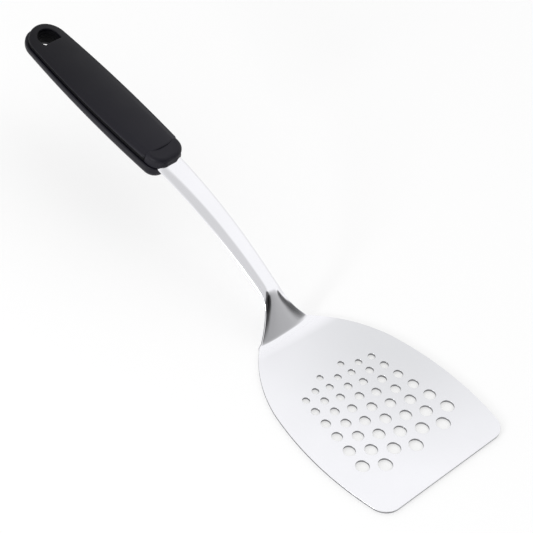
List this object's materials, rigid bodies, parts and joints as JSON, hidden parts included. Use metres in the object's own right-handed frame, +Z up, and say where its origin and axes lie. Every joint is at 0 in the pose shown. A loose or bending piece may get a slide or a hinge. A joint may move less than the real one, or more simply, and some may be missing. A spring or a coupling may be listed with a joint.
{
  "type": "grill spatula",
  "caption": "Perforated stainless grill turner: wide flat blade, cranked arched shank and a black moulded handle with a hanging hole.",
  "frame": {"origin": "middle of the flat underside of the blade, on the tool's mirror plane", "axes": "+X along the tool towards the blade's straight front edge, +Y to the left, +Z up; the underside of the blade lies in z = 0 and the handle is behind and above it"},
  "size_m": [0.3621, 0.108, 0.0718],
  "materials": {
    "steel": "satin on the blade, polished on the neck and shank",
    "grip": "satin soft touch",
    "core": "plain moulded",
    "pin": "turned"
  },
  "bodies": {
    "root": {"blade_and_shank": "steel", "front_collar": "grip", "core_upper": "core", "core_lower": "core", "grip_top": "grip", "grip_bottom": "grip", "tang_pin_front": "pin", "tang_pin_rear": "pin"}
  },
  "joints": []
}
